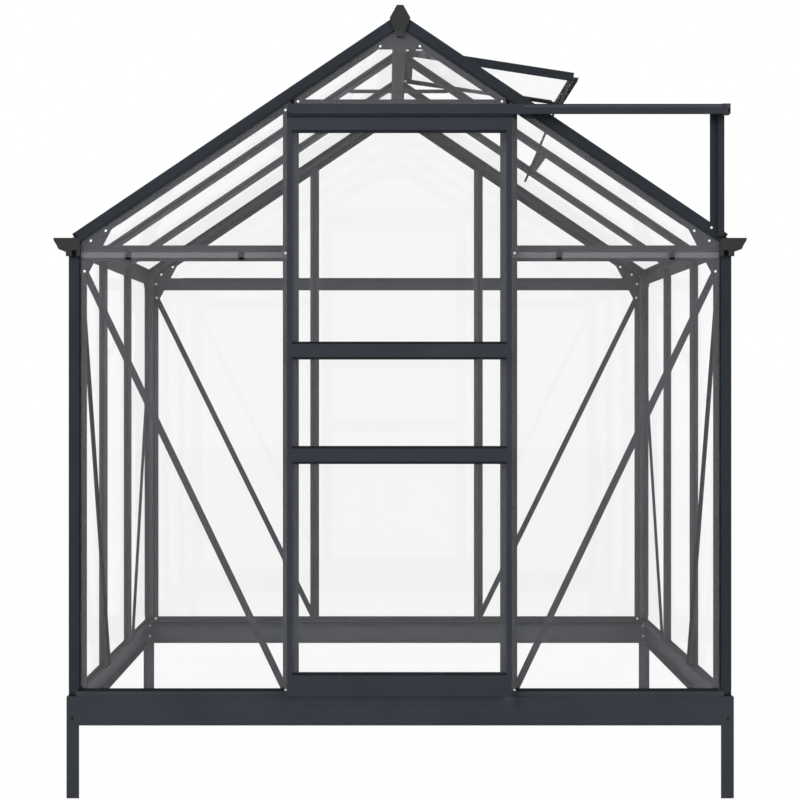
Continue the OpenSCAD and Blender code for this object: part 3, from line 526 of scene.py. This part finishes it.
def nudge(piece, picked, shift):
    """Moves the corners that are picked by their place."""
    hold(piece)
    bpy.ops.object.mode_set(mode="EDIT")
    bpy.ops.mesh.select_mode(type="VERT")
    bpy.ops.mesh.select_all(action="DESELECT")
    bpy.ops.object.mode_set(mode="OBJECT")
    for corner in piece.data.vertices:
        corner.select = picked(corner.co)
    bpy.ops.object.mode_set(mode="EDIT")
    bpy.ops.transform.translate(value=shift)
    bpy.ops.object.mode_set(mode="OBJECT")


beam = fitted("ridge_beam", "ridge_beam_trimmed")
nudge(beam, lambda co: co.x < wing_edge, (wing_trim, 0.0, wing_trim * math.tan(pitch)))

# Roof tie lips: the lower edge of each flat, coated tie across the roof, folded forward to
# stiffen it.
tie_half = 0.152
tie_lip_out = (0.006, 0.0045)
tie_lip_tall = (2.0620, 2.0662)
for word, tie_y in (("front", -0.2845), ("rear", 0.3235)):
    deep = [tie_y - outward for outward in tie_lip_out]
    strip("tie_lip_" + word, (-tie_half, tie_half), deep, tie_lip_tall, "house", "frame_coat", frame_finish)

# Glazing: clear horticultural glass, three millimetres thick, cut to size and bedded on the
# bars, with a trace of grey in it and a faint film of dust that dulls it unevenly.
film_scale, film_detail = 2.0, 5.0
shade_through_glass = (0.95, 0.95, 0.95, 1.0)
thin_pane_bend, thin_pane_clear = 1.01, 0.985


def glazing(name, bend, clear_share, dusty, clean):
    finish = bpy.data.materials.new(name)
    finish.use_nodes = True
    tree = finish.node_tree
    shader = tree.nodes["Principled BSDF"]
    shader.inputs["Transmission Weight"].default_value = clear_share
    shader.inputs["IOR"].default_value = bend
    shader.inputs["Roughness"].default_value = 0.0
    where = tree.nodes.new("ShaderNodeTexCoord")
    film = tree.nodes.new("ShaderNodeTexNoise")
    film.inputs["Scale"].default_value = film_scale
    film.inputs["Detail"].default_value = film_detail
    tree.links.new(where.outputs["Object"], film.inputs["Vector"])
    tree.links.new(two_tones(finish, film.outputs["Fac"], dusty, clean), shader.inputs["Base Color"])
    ray = tree.nodes.new("ShaderNodeLightPath")
    clear = tree.nodes.new("ShaderNodeBsdfTransparent")
    clear.inputs["Color"].default_value = shade_through_glass
    let_by = tree.nodes.new("ShaderNodeMixShader")
    tree.links.new(ray.outputs["Is Shadow Ray"], let_by.inputs[0])
    tree.links.new(shader.outputs[0], let_by.inputs[1])
    tree.links.new(clear.outputs[0], let_by.inputs[2])
    tree.links.new(let_by.outputs[0], tree.nodes["Material Output"].inputs["Surface"])
    return finish


gable_glass = glazing("gable_glass", 1.3, 0.99, (0.948, 0.948, 0.948), (0.968, 0.968, 0.968))
dress(gable_glass, "front_glass", "rear_glass", "door_glass")
wall_glass = glazing(
    "wall_glass", thin_pane_bend, thin_pane_clear, (0.984, 0.984, 0.986), (0.998, 0.998, 1.0))
dress(wall_glass, "left_glass", "right_glass", "roof_glass_left", "roof_glass_right")
vent_pane = glazing(
    "vent_pane_glass", thin_pane_bend, thin_pane_clear, (0.95, 0.95, 0.95), (0.97, 0.97, 0.97))
dress(vent_pane, "vent_glass")

# Edge strips, black to grey, along the corner between each pane and the frame around it.
# Along the posts, the rafters and the sill, and at the left sill corner, they are painted
# shade: the dark line of shade at those edges. Along the flange under the rafters a grey
# strip lies on the flange, and the coated lip along the rafters is painted paler as a
# painted highlight.
pvc_and_shade_black = soft_plastic("black_pvc_and_painted_shade", (0.0055, 0.0062, 0.0075))
pvc_and_shade_grey = soft_plastic("grey_pvc_and_painted_shade", (0.0165, 0.019, 0.0225))
lip_highlight_finish = coated_metal("anthracite_lip_highlight", (0.044, 0.0475, 0.0525))
pane_edge_deep = (front - seal_out, front + seal_in)
post_edge_shade_inner, post_edge_shade_outer = 0.8973, 0.9003
post_edge_shade_tall = (0.308, 1.557)
rafter_along = (0.07, 1.095)
rafter_edge_shade_below = (0.0298, 0.0276)
rafter_lip_below = (0.0322, 0.0298)
flange_along = (0.118, 0.985)
flange_deep = (front + 0.0078, front + 0.0097)
flange_below = (0.0509, 0.0492)
sill_edge_shade_inner, sill_edge_shade_outer = 0.3265, 0.893
pane_deep = (front + 0.0004, front + 0.0044)
sill_edge_shade_tall = (0.299, 0.3073)
sill_corner_across = (-0.9030, -0.8890)
sill_corner_deep = (front - 0.0004, front + 0.0030)
sill_corner_tall = (0.3003, 0.3080)
for side, word in sides:
    across = (side * post_edge_shade_inner, side * post_edge_shade_outer)
    # Painted shade: the dark line along the inner edge of each post.
    strip("post_edge_shade_" + word, across, pane_edge_deep, post_edge_shade_tall, "house", "roller_plastic", pvc_and_shade_mid)
    for name, along_slope, deep, below, slot_name, finish in (
        ("rafter_edge_shade_", rafter_along, pane_edge_deep, rafter_edge_shade_below, "roller_plastic", pvc_and_shade_mid),
        # Painted highlight: the paler lip along each rafter's edge.
        ("rafter_lip_", rafter_along, pane_edge_deep, rafter_lip_below, "frame_coat", lip_highlight_finish),
        ("flange_edge_", flange_along, flange_deep, flange_below, "frame_coat", pvc_and_shade_grey),
    ):
        run = strip(name + word, along_slope, deep, under_ridge(below), "house", slot_name, finish)
        down_slope(run, side)
    across = (side * sill_edge_shade_inner, side * sill_edge_shade_outer)
    strip("sill_edge_shade_" + word, across, pane_deep, sill_edge_shade_tall, "house", "roller_plastic", pvc_and_shade_grey)
strip(
    "sill_corner_shade_left", sill_corner_across, sill_corner_deep, sill_corner_tall,
    "house", "roller_plastic", pvc_and_shade_black)

# Laps: where the upper pane stands over the lower one a milky strip of tape seals the
# joint, and small bent steel clips with black sleeves hook under the upper pane.
tape_inner, tape_outer = 0.331, 0.8925
tape_in = (0.00443, 0.00457)
tape_tall = (1.5146, 1.5302)
tape_round = 0.00004
clip_half = 0.0075
clip_deep = (front + 0.0004, front + 0.0012)
clip_tall = (1.5160, 1.5315)
hook_deep = (front - 0.0002, front + 0.0042)
hook_tall = (1.5095, 1.5162)
lap_tape = coated_metal("milky_lap_tape", (0.093, 0.0945, 0.104), 0.6, grain=200.0, peel_depth=0.05)
clip_steel = coated_metal("clip_steel", (0.082, 0.084, 0.089), 0.45, grain=800.0, peel_depth=0.05)
for side, word in sides:
    across = (side * tape_inner, side * tape_outer)
    for face, way, gable in gables:
        name = "lap_tape_%s_%s" % (gable, word)
        deep = [face + way * inward for inward in tape_in]
        strip(name, across, deep, tape_tall, "house", "clear_glass", lap_tape, tape_round)
    for place, clip_x in (("outer", 0.763), ("inner", 0.446)):
        where = "%s_%s" % (place, word)
        across = (side * clip_x - clip_half, side * clip_x + clip_half)
        strip("lap_clip_" + where, across, clip_deep, clip_tall, "house", "frame_coat", clip_steel)
        strip("lap_hook_" + where, across, hook_deep, hook_tall, "house", "roller_plastic", pvc_and_shade_black)

# Door track: one slotted, coated channel bolted across the gable, with a bead along its upper
# edge painted paler as a painted highlight, a lip below, and a moulded cap with a painted
# highlight on its top and, on its end, a dark strip that is painted shade for the hole there.
track_face = -0.9591
track_end = 0.8970
bead_across = (0.345, track_end)
bead_deep = (track_face, -0.9578)
bead_tall = (1.9300, 1.9355)
bead_round = 0.0005
lip_across = (-0.306, track_end)
lip_deep = (track_face, -0.9575)
lip_tall = (1.9122, 1.9160)
shell_across = (0.8975, 0.9191)
shell_deep = (-0.9598, -0.9235)
shell_tall = (1.9116, 1.9412)
shell_round = 0.0022
cap_hole_across = (0.9116, 0.9166)
cap_hole_deep = (-0.9601, -0.9590)
cap_hole_tall = (1.9185, 1.9268)
shine_across = (0.9060, 0.9175)
shine_deep = (-0.9600, -0.9592)
shine_tall = (1.9315, 1.9385)
track_finish = coated_metal("anthracite_track", (0.0395, 0.0465, 0.0565))
dress(track_finish, "track_rail")
# Painted highlight: the paler bead along the track and the shine on the cap's top.
track_highlight_finish = coated_metal("track_painted_highlight", (0.071, 0.0755, 0.087), roughness=0.45)
cap_dark = coated_metal("track_cap_plastic", (0.046, 0.0455, 0.055), grain=cap_grain, peel_depth=cap_peel)
strip("track_bead", bead_across, bead_deep, bead_tall, "house", "frame_coat", track_highlight_finish, bead_round)
strip("track_lip", lip_across, lip_deep, lip_tall, "house", "frame_coat", track_finish)
strip("track_cap_shell", shell_across, shell_deep, shell_tall, "house", "cap_plastic", cap_dark, shell_round)
# Painted shade: a dark strip for the hole in the end of the cap.
strip(
    "track_cap_hole_shade", cap_hole_across, cap_hole_deep, cap_hole_tall, "house", "roller_plastic", pvc_and_shade_mid)
strip("track_cap_shine", shine_across, shine_deep, shine_tall, "house", "cap_plastic", track_highlight_finish)

# Header packings: short blocks of black PVC, pushed in at the two ends of the header to
# close the gap beside the panes.
packing_x, packing_half = 0.3016, 0.004
packing_tall = (1.944, 1.966)
for side, word in sides:
    across = (side * packing_x - packing_half, side * packing_x + packing_half)
    strip("header_packing_" + word, across, pane_deep, packing_tall, "house", "roller_plastic", pvc_and_shade_black)

# Sliding door: stiles and rails of the same coated sections, painted paler and bluer as
# painted light, screwed together and hung on black nylon rollers that run inside the track.
door_finish = coated_metal("anthracite_door", (0.0425, 0.047, 0.0585))
dress(door_finish, "door_stiles", "door_rails")
roller_finish = coated_metal("black_nylon", (0.012, 0.012, 0.013), 0.45, grain=700.0, peel_depth=0.2)
dress(roller_finish, "door_rollers")

# Door wedges and brush: grey PVC wedges pressed in along each rail on both faces of the door's
# panes, and a strip of brush pile glued along the top that wipes the track.
door_set = -0.0024
door_face = -0.9505
wedge_half, wedge_height = 0.299, 0.007
wedge_deep = (door_face + 0.0004, door_face + 0.0019)
wedge_in_deep = (-0.9324, -0.9309)
wedge_across = (door_set - wedge_half, door_set + wedge_half)
brush_half = 0.312
brush_across = (door_set - brush_half, door_set + brush_half)
brush_deep = (-0.9566, door_face - 0.0001)
brush_tall = (1.9062, 1.9148)
for word, foot in (
    ("top", 1.8615), ("cross_up_low", 1.229), ("cross_up_high", 1.272),
    ("cross_low_low", 0.938), ("cross_low_high", 0.981), ("kick", 0.3495),
):
    tall = (foot, foot + wedge_height)
    strip("door_wedge_" + word, wedge_across, wedge_deep, tall, "door", "roller_plastic", pvc_and_shade_grey)
    strip("door_wedge_in_" + word, wedge_across, wedge_in_deep, tall, "door", "roller_plastic", pvc_and_shade_grey)
brush_grey = coated_metal("brush_pile", (0.026, 0.029, 0.036), 0.8, grain=1500.0, peel_depth=0.4)
strip("door_brush", brush_across, brush_deep, brush_tall, "door", "roller_plastic", brush_grey)

# Roof vent: coated sections like those of the house, screwed at the corners and hung from the
# ridge. Its lower bar is painted paler, painted light for faces that turn down away from the
# lamps, and the bar and rear rail are slim.
vent_tone = (0.0285, 0.034, 0.041)
lifted_vent_tone = (0.1, 0.1, 0.103)
lifted_start, lifted_end = 0.52, 0.535
behind_start, behind_end = -0.274, -0.270
vent_finish = coated_metal("anthracite_vent", vent_tone)
at = axes_of(vent_finish)
# Painted light: paler on the lower bar of the vent.
lifted = rise(vent_finish, at["X"], lifted_start, lifted_end)
behind = rise(vent_finish, at["Y"], behind_start, behind_end)
colour_by(vent_finish, two_tones(vent_finish, both(vent_finish, lifted, behind), vent_tone, lifted_vent_tone))
dress(vent_finish, "vent_frame")

hinge_x, hinge_z = 0.02665, 2.2073
lean = math.radians(8.8)
flange_edge, flange_slack = 0.507, 0.0005
flange_trim = 0.0058
lip_start, lip_trim = 0.5405, 0.002
lip_low = -0.02
rail_low, rail_inner_y = -0.0265, 0.317
rail_end_start, rail_end = 0.52, 0.53
rail_trim = 0.0065


def down_vent(co):
    """Gives how far a corner lies from the hinge, measured down the vent's pane."""
    return (co.x - hinge_x) * math.cos(lean) - (co.z - hinge_z) * math.sin(lean)


def above_pane(co):
    return (co.x - hinge_x) * math.sin(lean) + (co.z - hinge_z) * math.cos(lean)


def on_rail_end(co):
    low_rear = above_pane(co) < rail_low and co.y > rail_inner_y
    return low_rear and rail_end_start < down_vent(co) < rail_end


vent = fitted("vent_frame", "vent_frame_slim")
flange_shift = (flange_trim * math.cos(lean), 0.0, -flange_trim * math.sin(lean))
nudge(vent, lambda co: abs(down_vent(co) - flange_edge) < flange_slack, flange_shift)
lip_shift = (-lip_trim * math.cos(lean), 0.0, lip_trim * math.sin(lean))
nudge(vent, lambda co: down_vent(co) > lip_start, lip_shift)
nudge(vent, lambda co: down_vent(co) > lip_start - lip_trim and above_pane(co) < lip_low, lip_shift)
nudge(vent, on_rail_end, (rail_trim * math.sin(lean), 0.0, rail_trim * math.cos(lean)))

# Vent bead: a dark strip of PVC that is pressed in along the rear rail of the vent and holds
# its pane down.
vent_bead_across = (hinge_x + 0.31, hinge_x + 0.505)
vent_bead_deep = (0.3174, 0.3195)
vent_bead_tall = (hinge_z - 0.0140, hinge_z - 0.0065)
bead = strip(
    "vent_rear_bead", vent_bead_across, vent_bead_deep, vent_bead_tall, "house", "frame_coat", pvc_and_shade_mid)
tilted(bead, lean, (hinge_x, 0.0, hinge_z))

# Vent transom and shelf: the coated bar across the roof below the vent, paler than the frame,
# and the thin folded strip under it that the vent's stay rests on.
shelf_along = (0.541, 0.569)
shelf_deep = (-0.278, 0.317)
shelf_below = (0.0126, 0.0116)
transom_finish = coated_metal("lifted_transom", (0.052, 0.054, 0.056))
dress(transom_finish, "vent_transom")
shelf = strip(
    "transom_shelf", shelf_along, shelf_deep, under_ridge(shelf_below), "house", "frame_coat", transom_finish)
down_slope(shelf, 1)

# Bolts and nuts: bright zinc-plated steel, with low heads on the glass side of the flanges and
# hexagon nuts on the inside, one at each hole of the gussets, braces, jambs and header.
zinc = bpy.data.materials.new("bright_zinc")
zinc.use_nodes = True
tree = zinc.node_tree
shader = tree.nodes["Principled BSDF"]
shader.inputs["Metallic"].default_value = 1.0
where = tree.nodes.new("ShaderNodeTexCoord")
spangle = tree.nodes.new("ShaderNodeTexNoise")
spangle.inputs["Scale"].default_value = 300.0
tree.links.new(where.outputs["Object"], spangle.inputs["Vector"])
plating = two_tones(zinc, spangle.outputs["Fac"], (0.86, 0.87, 0.89), (0.97, 0.97, 0.97))
tree.links.new(plating, shader.inputs["Base Color"])
dulled = tree.nodes.new("ShaderNodeMapRange")
dulled.inputs["To Min"].default_value = 0.2
dulled.inputs["To Max"].default_value = 0.4
tree.links.new(spangle.outputs["Fac"], dulled.inputs["Value"])
tree.links.new(dulled.outputs[0], shader.inputs["Roughness"])

head_radius, head_depth, head_crown = 0.0033, 0.0005, 0.00012
head_rim, shank_rim = 0.001, 0.0011
shank_length = 0.0085
nut_radius, nut_depth, nut_round = 0.0045, 0.0036, 0.0005


def turned_bar(name, corners, radius, depth):
    """Cuts a slice of round or hexagon bar with its axis along Y."""
    bpy.ops.object.select_all(action="DESELECT")
    bpy.ops.mesh.primitive_cylinder_add(
        vertices=corners, radius=radius, depth=depth,
        location=(0.0, 0.0, 0.0), rotation=(math.radians(90.0), 0.0, 0.0))
    piece = bpy.context.object
    piece.name = name
    bpy.ops.object.transform_apply(location=True, rotation=True, scale=True)
    bpy.ops.object.mode_set(mode="EDIT")
    return piece


def pick_end(piece, way):
    """Selects the end of a turned piece that looks along Y (1) or against it (-1)."""
    bpy.ops.mesh.select_mode(type="FACE")
    bpy.ops.mesh.select_all(action="DESELECT")
    bpy.ops.object.mode_set(mode="OBJECT")
    for face in piece.data.polygons:
        face.select = face.normal.y * way > 0.9
    bpy.ops.object.mode_set(mode="EDIT")


head = turned_bar("bolt_pattern", 16, head_radius, head_depth)
pick_end(head, -1)
bpy.ops.mesh.inset(thickness=head_rim)
bpy.ops.transform.translate(value=(0.0, -head_crown, 0.0))
pick_end(head, 1)
bpy.ops.mesh.inset(thickness=shank_rim)
bpy.ops.mesh.extrude_region_move(TRANSFORM_OT_translate={"value": (0.0, shank_length, 0.0)})
bpy.ops.object.mode_set(mode="OBJECT")
head.data.materials.append(zinc)

nut = turned_bar("nut_pattern", 6, nut_radius, nut_depth)
bpy.ops.mesh.select_all(action="SELECT")
bpy.ops.mesh.bevel(offset=nut_round, segments=2, affect="EDGES")
bpy.ops.object.mode_set(mode="OBJECT")
nut.data.materials.append(zinc)


def put(pattern, name, place, flip):
    hold(pattern)
    bpy.ops.object.duplicate(linked=False)
    piece = bpy.context.object
    piece.name = name
    if flip:
        piece.rotation_euler = (0.0, 0.0, math.pi)
    piece.location = place
    bpy.ops.object.transform_apply(location=True, rotation=True, scale=True)
    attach(piece, "house")
    return piece


head_seat = 0.0078
on_flange, on_gusset, on_brace = 0.0096, 0.0112, 0.0128
gable_bolts = [
    (0.826, 1.591, on_gusset), (0.868, 1.563, on_gusset),
    (0.8855, 1.477, on_brace), (0.0555, 2.109, on_gusset),
]
door_bolts = [
    (0.286, 1.954, on_flange), (0.3215, 1.930, on_flange),
    (0.3215, 1.5285, on_flange), (0.3212, 0.3015, on_flange),
]
rear_bolts = [(0.888, 1.528, on_gusset), (0.889, 0.293, on_flange)]
for face, way, gable in gables:
    own_bolts = door_bolts if gable == "front" else rear_bolts
    count = 0
    for x, z, nut_seat in gable_bolts + own_bolts:
        for side, word in sides:
            count += 1
            nut_y = face + way * (nut_seat + nut_depth / 2)
            put(head, "%s_bolt_%02d" % (gable, count), (side * x, face + way * head_seat, z), way < 0)
            put(nut, "%s_nut_%02d" % (gable, count), (side * x, nut_y, z), way < 0)

# Odd fixings: the track post's bolt, nuts at the base corners, the vent's hinge and its stay,
# the bright cut edge of the apex plate, and the black-coated bolts of the front stakes.
base_nut_y = 0.9482
hinge_nut_x = 0.0225
hinge_nut_half = (0.006, 0.004, 0.003)
hinge_nut_round = 0.0006
stay_y = 0.0175
apex_across = (0.0455, 0.0625)
apex_deep = (front + 0.0098, front + 0.0110)
apex_tall = (2.0975, 2.1003)
apex_round = 0.0002
stake_bolt_x, stake_bolt_y, stake_bolt_z = 0.918, -0.9147, 0.224
put(head, "track_post_bolt", (0.8728, -0.9118, 1.5992), False)
for count, (x, z) in enumerate(((0.9115, 0.266), (0.912, 0.227))):
    for side, word in sides:
        put(nut, "base_nut_%s_%d" % (word, count), (side * x, base_nut_y, z), True)
for count, (y, z) in enumerate(((-0.502, 2.162), (0.162, 2.165))):
    limits = [(mid - half, mid + half) for mid, half in zip((hinge_nut_x, y, z), hinge_nut_half)]
    strip("hinge_nut_%d" % count, *limits, "house", "frame_coat", zinc, hinge_nut_round)
strip("apex_plate_edge", apex_across, apex_deep, apex_tall, "house", "frame_coat", zinc, apex_round)
stay_steel = coated_metal("stay_nut_steel", (0.14, 0.14, 0.145), 0.45, grain=800.0, peel_depth=0.05)
for count, (x, z) in enumerate(((0.532, 2.102), (0.521, 2.089))):
    dull = put(nut, "stay_nut_%d" % count, (x, stay_y, z), False)
    dull.data.materials.clear()
    dull.data.materials.append(stay_steel)
for side, word in sides:
    dark = put(head, "stake_bolt_" + word, (side * stake_bolt_x, stake_bolt_y, stake_bolt_z), False)
    dark.data.materials.clear()
    dark.data.materials.append(pvc_and_shade_black)
bpy.data.objects.remove(head)
bpy.data.objects.remove(nut)
